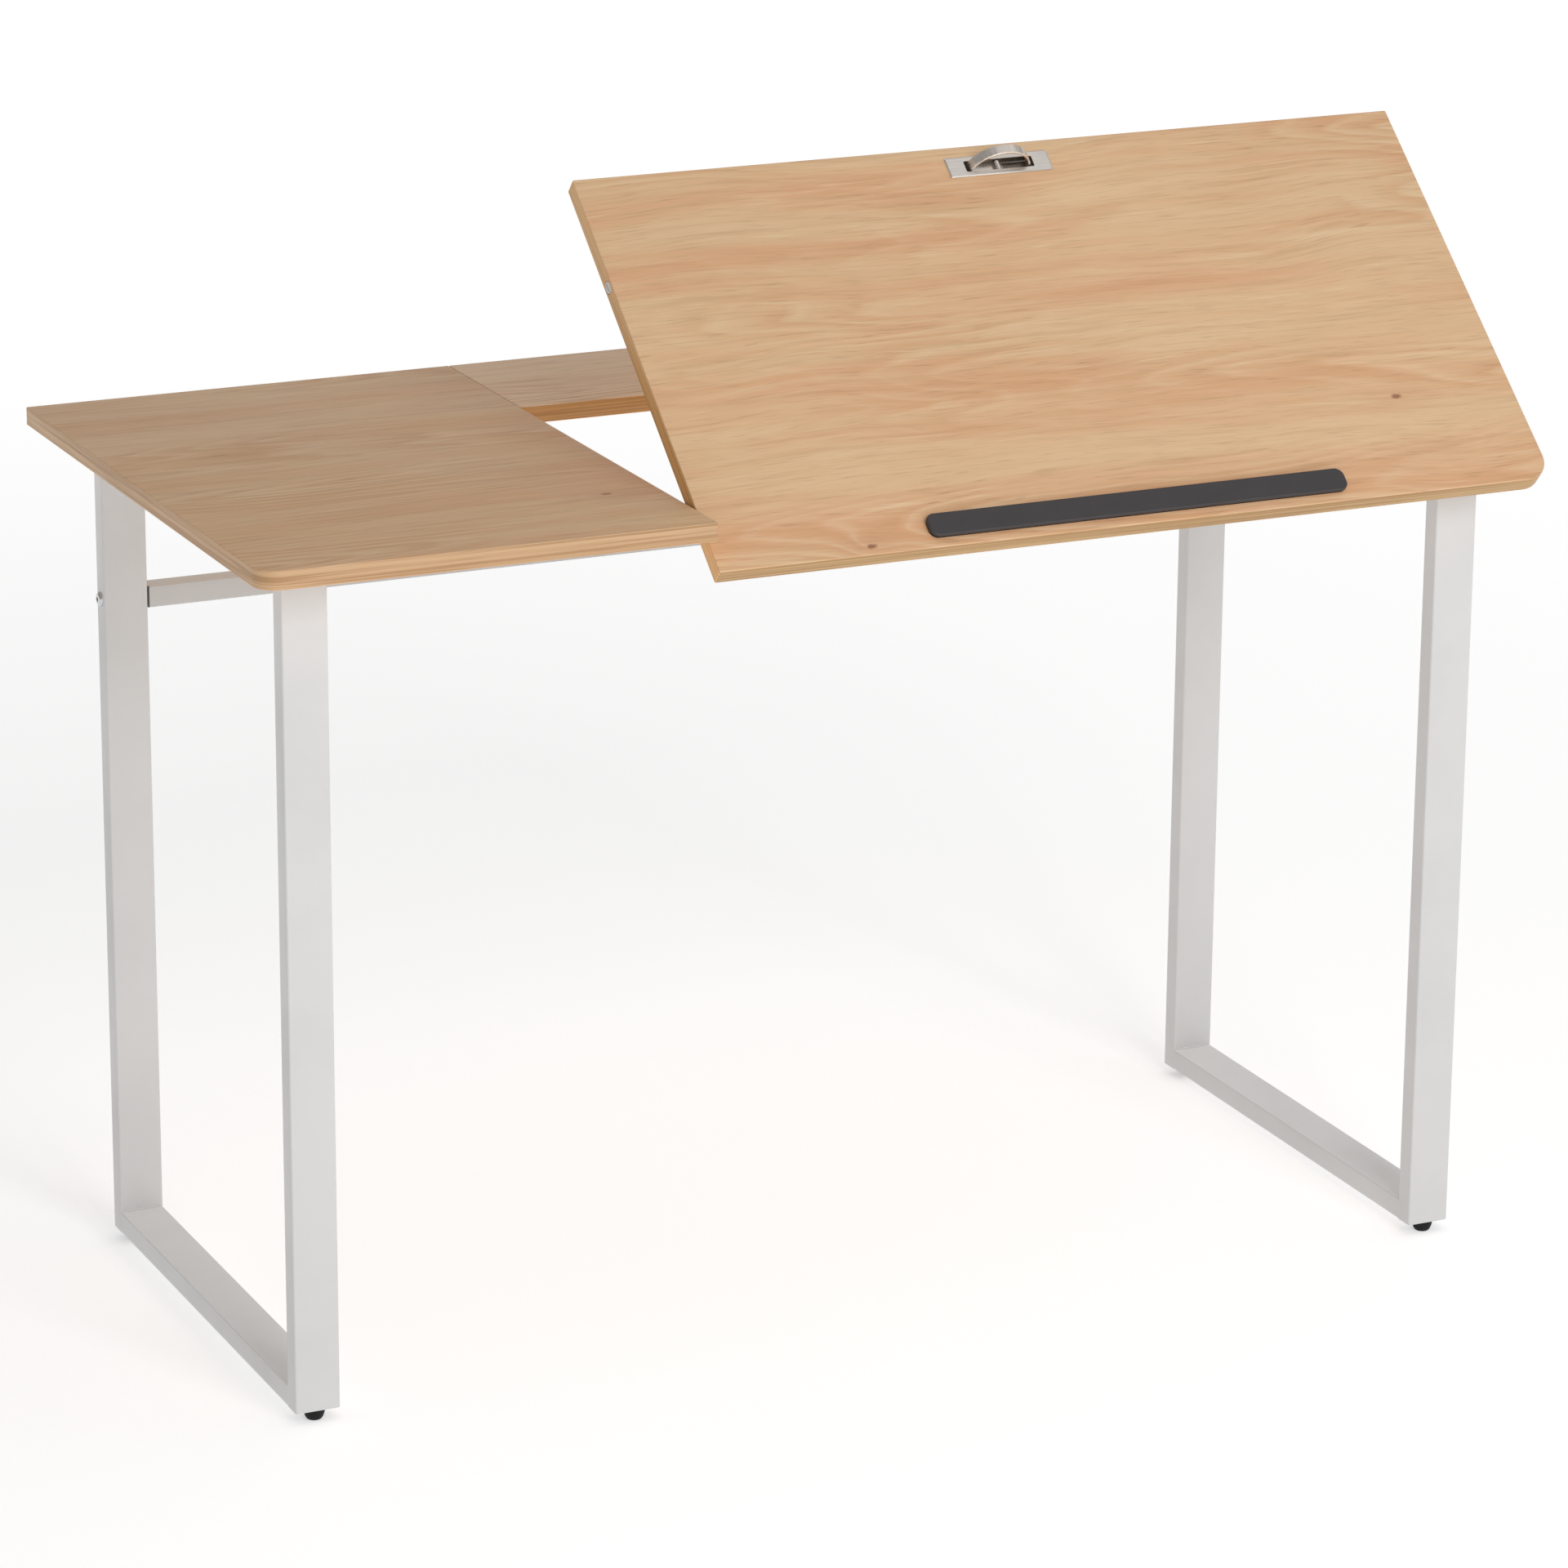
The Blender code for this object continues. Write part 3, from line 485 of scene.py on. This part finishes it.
# ---------------------------------------------------------------- steel tubes
def steel_tube(node, axis):
    """A hollow tube with rounded corners and eased ends. The side frames' bars run flush into the legs."""
    low, high = box_in(node)
    if node == "front_rail":
        low.z += RAIL_RELIEF
    order = {"X": (1, 2, 0), "Y": (0, 2, 1), "Z": (0, 1, 2)}[axis]
    u, v, w = order
    centre = ((low[u] + high[u]) / 2, (low[v] + high[v]) / 2)
    width, depth = high[u] - low[u], high[v] - low[v]
    ease = 0.0004
    if node.endswith(("_bottom_bar", "_top_bar")):
        ease = 0
        low[w] -= STEEL_CORNER + 0.0003
        high[w] += STEEL_CORNER + 0.0003
    rows = [(low[w], ease), (low[w] + ease, 0), (high[w] - ease, 0), (high[w], ease)]
    # extra rows bound the black bands of painted shade at the stretcher's ends
    if node == "stretcher":
        rows[2:2] = [(low[w] + END_SHADE, 0), (high[w] - END_SHADE, 0)]
    loops = [
        lift(rounded(width - 2 * i, depth - 2 * i, STEEL_CORNER - i, 7, centre), axis, at) for at, i in rows
    ]
    bore = rounded(width - 2 * STEEL_WALL, depth - 2 * STEEL_WALL, 0.0003, 7, centre)
    loops += [lift(bore, axis, at) for at in (high[w], low[w])]
    # the stretcher takes the darker copy of the coat: painted shade
    made = skin(node + "_tube", loops, white_shaded_copy if node == "stretcher" else white, ring=True)
    # black bands on the front and rear faces at both ends: painted shade of the gap where the stretcher meets the
    # legs
    if node == "stretcher":
        made.data.materials.append(black)
        for polygon in made.data.polygons:
            at_end = min(polygon.center[w] - low[w], high[w] - polygon.center[w]) < END_SHADE
            polygon.material_index = int(at_end and abs(polygon.normal.y) > 0.5)
    return made


TUBES = {f"{side}_{end}_leg": "Z" for side in ("left", "right") for end in ("front", "rear")}
TUBES.update({f"{side}_{height}_bar": "Y" for side in ("left", "right") for height in ("top", "bottom")})
TUBES.update({"front_rail": "X", "rear_rail": "X", "stretcher": "X", "middle_bar": "Y"})
TUBES.update({f"{side}_carrier_rail": "Y" for side in ("left", "right")})
for node, axis in TUBES.items():
    settle(steel_tube(node, axis), "frame", [node])


def weld(bm, start, end, lean, radius=0.0016, ripple=0.0010):
    """A short bead laid from start to end in the corner that lean points out of, with a stacked ripple."""
    along = end - start
    forward = along.normalized()
    side = forward.cross(lean).normalized()
    up = side.cross(forward)
    count = max(8, int(along.length / ripple * 2))
    rows = []
    for i in range(count + 1):
        t = i / count
        taper = min(1.0, 4 * min(t, 1 - t) + 0.25)
        wobble = 1 + 0.16 * sin(2 * pi * i / 4) + 0.22 * noise.noise(start * 90 + along * t * 60)
        r = radius * taper * wobble
        rows.append([bm.verts.new(start + along * t + r * (side * cos(a) + up * sin(a)))
                     for a in (2 * pi * k / 8 for k in range(8))])
    for low_row, high_row in zip(rows, rows[1:]):
        for k in range(8):
            bm.faces.new((low_row[k], low_row[(k + 1) % 8], high_row[(k + 1) % 8], high_row[k]))
    bm.faces.new(rows[0])
    bm.faces.new(rows[-1])


for side in ("left", "right"):
    bm = bmesh.new()
    for level, toward in (("bottom", 1), ("top", -1)):
        low, high = box_in(f"{side}_{level}_bar")
        z = high.z if toward > 0 else low.z
        for y, inward in ((low.y, 1), (high.y, -1)):
            lean = Vector((0, inward, toward))
            weld(bm, Vector((low.x + 0.003, y, z)), Vector((high.x - 0.003, y, z)), lean)
    bmesh.ops.recalc_face_normals(bm, faces=bm.faces)
    mesh = bpy.data.meshes.new(f"{side}_frame_welds")
    bm.to_mesh(mesh)
    bm.free()
    mesh.materials.append(white)
    made = bpy.data.objects.new(f"{side}_frame_welds", mesh)
    bpy.context.scene.collection.objects.link(made)
    smooth(made, 60)
    settle(made, "frame")


# ---------------------------------------------------------------- turned pieces
def turned(name, profile, axis, centre, finish, count=56, sharp=38):
    """A turned body: (height, radius) pairs along an axis through a centre."""
    return skin(name, [lift(circle(r, count, centre), axis, at) for at, r in profile], finish, sharp=sharp)


for side in ("left", "right"):
    for end in ("front", "rear"):
        node = f"{side}_{end}_foot"
        low, high = box_in(node)
        centre = ((low.x + high.x) / 2, (low.y + high.y) / 2)
        dome = [(0, 0.0054), (0.0002, 0.0060), (0.0007, 0.0066), (0.0016, 0.0073), (0.0030, 0.0080)]
        dome += [(0.0050, 0.0087), (0.0070, 0.0092), (0.0085, 0.0094)]
        stem = [(0.0097, 0.0094), (0.0097, 0.0037)]
        thread = []
        z, pitch = 0.0105, 0.00125
        while z < high.z - 0.0012:
            thread += [(z, 0.0037), (z + 0.0006, 0.0032)]
            z += pitch
        made = turned(f"{node}_dome", dome + stem + thread + [(high.z, 0.0030)], "Z", centre, rubber)
        settle(made, node, [node])

for side, sign in (("left", -1), ("right", 1)):
    node = f"{side}_stretcher_bolt"
    low, high = box_in(node)
    centre = ((low.y + high.y) / 2, (low.z + high.z) / 2)
    face = high.x if sign > 0 else -low.x
    seat = face - 0.0034
    tail = low.x if sign > 0 else -high.x
    radius = (high.y - low.y) / 2
    turn = [pi / 2 * i / 8 for i in range(9)]
    dome = [(seat + 0.0032 * sin(a), 0.0034 + (radius - 0.0034) * cos(a)) for a in turn]
    profile = [(tail, 0.0026), (tail + 0.0006, 0.003), (seat, 0.003), (seat, radius)] + dome
    made = turned(f"{node}_head", [(sign * at, r) for at, r in profile], "X", centre, zinc)
    hexagon = circle(0.0023, 6, centre)
    cut(made, skin("key", [lift(hexagon, "X", sign * x) for x in (face - 0.0024, face + 0.002)], zinc))
    settle(made, "frame", [node])

# ---------------------------------------------------------------- ledge and edge cap on the board
low, high = box_in("ledge", BOARD)
centre, size = (low + high) / 2, high - low
rows = [(low.z, 0.0005), (low.z + SHADE_BAND_HEIGHT, 0.0005), (low.z + SHADE_BAND_HEIGHT + 0.0001, 0)]
rows += [(high.z - 0.0012 * (1 - sin(a)), 0.0012 * (1 - cos(a))) for a in (pi / 2 * i / 6 for i in range(7))]
loops = []
for z, inset in rows:
    outline = rounded(size.x - 2 * inset, size.y - 2 * inset, LEDGE_CORNER - inset, 14, centre.xy)
    loops.append(lift(outline, "Z", z))
bar = skin("ledge_bar", loops, charcoal, sharp=50)
# faces at the ledge's base take the near-black finish: painted shade under the lower edge
bar.data.materials.append(shade_band)
for face in bar.data.polygons:
    face.material_index = int(face.center.z < low.z + SHADE_BAND_HEIGHT + 0.00005)
settle(bar, "board", ["ledge"], BOARD)

rim = [(cap_high.x, CAP_DISC), (cap_low.x + 0.0009, CAP_DISC), (cap_low.x + 0.0003, 0.0052), (cap_low.x, 0.0043)]
made = turned("edge_cap_disc", rim, "X", (cap.y, cap.z), pale)
outline = rounded(0.0072, 0.0013, 0.0006, 4, (cap.y, cap.z))
cut(made, skin("slit", [lift(outline, "X", x) for x in (cap_low.x - 0.002, cap_low.x + 0.0011)], pale))
settle(made, "board", ["edge_cap"], BOARD)

# ---------------------------------------------------------------- flush handle
plate_top, plate_under = case_high.z, case_high.z - 0.0009
size = case_high - case_low
plate, mouth = (size.x, size.y), HANDLE_MOUTH
loops = []
for z, inset, (width, depth) in (
    (plate_under, 0, plate), (plate_top - 0.00055, 0, plate), (plate_top, 0.0011, plate),
    (plate_top, -0.0004, mouth), (plate_top - 0.0001, -0.00015, mouth), (plate_top - 0.0004, 0, mouth),
    (case_low.z, 0, mouth), (case_low.z, -0.0012, mouth), (plate_under, -0.0012, mouth),
):
    outline = rounded(width - 2 * inset, depth - 2 * inset, 0.0012 - min(inset, 0), 8, handle.xy)
    loops.append(lift(outline, "Z", z))
made = skin("handle_plate", loops, nickel, ring=True, sharp=20)
# the mouth's inner walls below the plate take the dark finish: painted shade
made.data.materials.append(shade)
for polygon in made.data.polygons:
    inward = (polygon.center - handle).xy.dot(polygon.normal.xy) < 0
    polygon.material_index = int(inward and abs(polygon.normal.z) < 0.5 and polygon.center.z < plate_top - 0.0002)
settle(made, "board", ["handle_case"], BOARD)

flip = JOINTS["bail_flip"]
pivot = BOARD.inverted() @ Vector(flip["pos_m"])
# painted shade on the bail's bar right of the hub and below the pivot, where the slot is dark
shaded_corner = (pivot.x + 0.003, pivot.z)
nickel_bail = brushed("Satin nickel, bail", (0.80, 0.73, 0.66), (300, 40, 300), 0.27, 0.08, shaded_corner)
low, high = box_in("handle_bail", BOARD)
half, rise, hub = (high.x - low.x) / 2, high.z - pivot.z, pivot.z - low.z
side_at, side_ease = BAIL_WIDTH / 2, 0.0006


def arch(half, rise, foot, steps=72):
    """A bow over a straight foot, blunt at both ends."""
    return [(pivot.x + half * cos(pi * i / steps), pivot.z + foot + (rise - foot) * sin(pi * i / steps))
            for i in range(steps + 1)]


def bow(y, ease):
    """The outside and the inside of the bail at one depth, drawn in by an ease."""
    outer = arch(half - ease, rise - ease, -hub + ease)
    inner = arch(half - BAIL_STRAP + ease, rise - BAIL_STRAP + ease, -hub + BAIL_BAR - ease)
    return lift(outer, "Y", pivot.y + y), lift(inner, "Y", pivot.y + y)


rows = [bow(-side_at, side_ease), bow(-side_at + side_ease, 0), bow(side_at - side_ease, 0), bow(side_at, side_ease)]
loops = [row[0] for row in rows] + [row[1] for row in rows[::-1]]
made = skin("handle_bail_bow", loops, nickel_bail, ring=True, sharp=24)
hub_half = mouth[1] / 2 - 0.0003
barrel = [(-hub_half, 0.0028), (-hub_half + 0.0004, 0.0032), (hub_half - 0.0004, 0.0032), (hub_half, 0.0028)]
barrel = [(pivot.y + y, r) for y, r in barrel]
cut(made, turned("barrel", barrel, "Y", (pivot.x, pivot.z), nickel_bail, 40), "UNION")
settle(made, "handle_bail", ["handle_bail"], BOARD)


# ---------------------------------------------------------------- clamp knobs
def lobes(radius, depth, count=120, number=6):
    """A round outline with shallow hollows between its lobes."""
    points = []
    for angle in (2 * pi * i / count for i in range(count)):
        r = radius - depth * (0.5 - 0.5 * cos(number * angle))
        points.append((r * cos(angle), r * sin(angle)))
    return points


for side, sign in (("left", 1), ("right", -1)):
    node = f"{side}_knob"
    low, high = box_in(node)
    seat = low.x if sign > 0 else high.x
    length = high.x - low.x
    centre = tuple(JOINTS[f"{side}_knob_turn"]["pos_m"][1:])
    outlines = [
        (0, circle(0.0088, 120)), (0.0004, circle(0.009, 120)), (0.0042, lobes(0.0130, 0.0012)),
        (0.0060, lobes(0.0178, 0.0032)), (0.0072, lobes(0.0189, 0.0035)), (0.0085, lobes(0.019, 0.0035)),
        (length - 0.0035, lobes(0.0188, 0.0035)), (length - 0.0015, lobes(0.0181, 0.0033)),
        (length - 0.0004, lobes(0.0165, 0.0030)), (length, lobes(0.0140, 0.0022)),
        (length - 0.0006, circle(0.0080, 120)), (length - 0.0010, circle(0.0042, 120)),
    ]
    loops = []
    for at, outline in outlines:
        loops.append(lift([(centre[0] + u, centre[1] + v) for u, v in outline], "X", seat + sign * at))
    made = skin(f"{side}_star_knob", loops, black, sharp=55)
    hole = [(seat - sign * 0.001, 0.0036), (seat + sign * (length - 0.0016), 0.0036)]
    cut(made, turned("bore", hole, "X", centre, black, 40))
    settle(made, node, [node])


# ---------------------------------------------------------------- screws
def screw(name, head, length, direction, at, body, placing=IDENTITY, pan=True):
    """A wood screw with its head at a place, domed or nearly flat, cross-recessed, facing along direction."""
    rise = 0.0014 if pan else 0.0003
    profile = [(-length, 0.0005), (-length + 0.002, 0.0012), (0, 0.0015), (0, head)]
    profile += [(rise * sin(a), head * (0.45 + 0.55 * cos(a))) for a in (pi / 2 * i / 5 for i in range(1, 6))]
    made = turned(name, profile, "Z", (0, 0), zinc, 32)
    u, v = 0.0022 * head / 0.0035, 0.0004
    for blade in ([(-u, -v), (u, -v), (u, v), (-u, v)], [(v, -u), (v, u), (-v, u), (-v, -u)]):
        cut(made, skin("blade", [lift(blade, "Z", z) for z in (rise - 0.0009, rise + 0.001)], zinc))
    made.matrix_world = Matrix.Translation(at) @ Vector(direction).to_track_quat("Z", "Y").to_matrix().to_4x4()
    settle(made, body, (), placing)


LEAF_SCREWS, LEAF_SEAT = (-0.022, 0, 0.022), 0.00148
for name in ("left", "middle", "right"):
    low, high = box_in(f"{name}_hinge_rail_leaf")
    for i, x in enumerate(LEAF_SCREWS):
        at = Vector(((low.x + high.x) / 2 + x, high.y - LEAF_SEAT, low.z + 0.0058))
        screw(f"{name}_rail_leaf_screw_{i}", 0.0026, 0.006, (0, -1, 0), at, "frame", pan=False)
    low, high = box_in(f"{name}_hinge_board_leaf", BOARD)
    for i, x in enumerate(LEAF_SCREWS):
        at = Vector(((low.x + high.x) / 2 + x, low.y + 0.0085, high.z - LEAF_SEAT))
        screw(f"{name}_board_leaf_screw_{i}", 0.0032, 0.010, (0, 0, -1), at, "board", placing=BOARD, pan=False)

for side in ("left", "right"):
    low, high = box_in(f"{side}_stay", BOARD)
    flange_x = (low.x + high.x) / 2 + (0.0015 if side == "left" else -0.0015)
    for i, y in enumerate(STAY_SCREWS):
        at = Vector((flange_x, y, high.z - 0.0030))
        screw(f"{side}_stay_screw_{i}", 0.0036, 0.012, (0, 0, -1), at, "board", placing=BOARD)

for node in ("left_top_bar", "right_top_bar", "middle_bar"):
    low, high = box_in(node)
    for i, share in enumerate((0.16, 0.5, 0.84)):
        at = Vector(((low.x + high.x) / 2, low.y + share * (high.y - low.y), low.z))
        if node == "right_top_bar" and at.y < 0.13:
            continue               # no fixed panel lies over it there
        screw(f"{node}_screw_{i}", 0.0042, 0.010, (0, 0, -1), at, "frame")
low, high = box_in("rear_rail")
for i, share in enumerate((0.1, 0.3, 0.5, 0.7, 0.9)):
    at = Vector((low.x + share * (high.x - low.x), (low.y + high.y) / 2, low.z))
    screw(f"rear_rail_screw_{i}", 0.0042, 0.010, (0, 0, -1), at, "frame")


# ---------------------------------------------------------------- studio
def stage_floor():
    g = Graph("Pale studio floor", roughness=0.8)
    cloud = g.noise(g.place, 0.6, 2)
    g.finish(g.mix(cloud, (0.90, 0.90, 0.90), (0.92, 0.92, 0.92)), g.span(cloud, 0.3, 0.7, 0.75, 0.85))
    reach = g.vector("LENGTH", g.vector("MULTIPLY", g.place, (1, 1, 0)))
    g.feed(g.shader.inputs["Emission Color"], (1, 1, 1, 1))
    g.feed(g.shader.inputs["Emission Strength"], g.span(reach, 0.8, 5.0, 0.44, 0.64))
    skin("studio_floor", [lift(rounded(60, 60, 1, 4), "Z", z) for z in (-0.02, 0.0)], g.material)


def area_light(name, where, aim, size, power):
    lamp = bpy.data.lights.new(name, "AREA")
    lamp.shape, lamp.size, lamp.energy = "SQUARE", size, power
    holder = bpy.data.objects.new(name, lamp)
    holder.location = where
    holder.rotation_euler = (Vector(aim) - Vector(where)).to_track_quat("-Z", "Y").to_euler()
    bpy.context.scene.collection.objects.link(holder)


def sky_span(value, low, high, to_low, to_high):
    made = nodes.new("ShaderNodeMapRange")
    for key, item in (("From Min", low), ("From Max", high), ("To Min", to_low), ("To Max", to_high)):
        made.inputs[key].default_value = item
    links.new(value, made.inputs["Value"])
    return made.outputs[0]


stage_floor()
world = bpy.data.worlds.new("Studio")
world.use_nodes = True
nodes, links = world.node_tree.nodes, world.node_tree.links
sky = nodes["Background"]
sky.inputs["Color"].default_value = (1, 1, 1, 1)
way, toward = nodes.new("ShaderNodeTexCoord"), nodes.new("ShaderNodeSeparateXYZ")
links.new(way.outputs["Generated"], toward.inputs[0])
bowl = sky_span(toward.outputs["Z"], 0.05, 0.30, 0.94, 0.42)      # bright near the horizon
flag = sky_span(toward.outputs["X"], -0.9, -0.2, 0.66, 1.0)       # a dark flag at the left
dimmed = nodes.new("ShaderNodeMath")
dimmed.operation = "MULTIPLY"
links.new(bowl, dimmed.inputs[0])
links.new(flag, dimmed.inputs[1])
links.new(dimmed.outputs[0], sky.inputs["Strength"])
bpy.context.scene.world = world
area_light("Key", (0.3, -5.2, 3.0), (0, 0, 0.6), 2.6, 108)
area_light("Overhead", (1.5, 0.0, 3.6), (0.1, 0, 0.8), 3.0, 10)
bpy.context.scene.view_settings.view_transform = "Standard"

camera = bpy.data.cameras.new("Camera")
camera.lens, camera.sensor_width = 140.45, 36
camera.clip_start, camera.clip_end = 0.1, 100
viewer = bpy.data.objects.new("Camera", camera)
bpy.context.scene.collection.objects.link(viewer)
yaw, down, roll = radians(24.78), radians(17.38), radians(0.41)
look = Vector((sin(yaw) * cos(down), cos(yaw) * cos(down), -sin(down)))
viewer.matrix_world = (
    Matrix.Translation((-2.1848, -4.7286, 2.0596))
    @ look.to_track_quat("-Z", "Y").to_matrix().to_4x4()
    @ Matrix.Rotation(roll, 4, "Z")
)
bpy.context.scene.camera = viewer
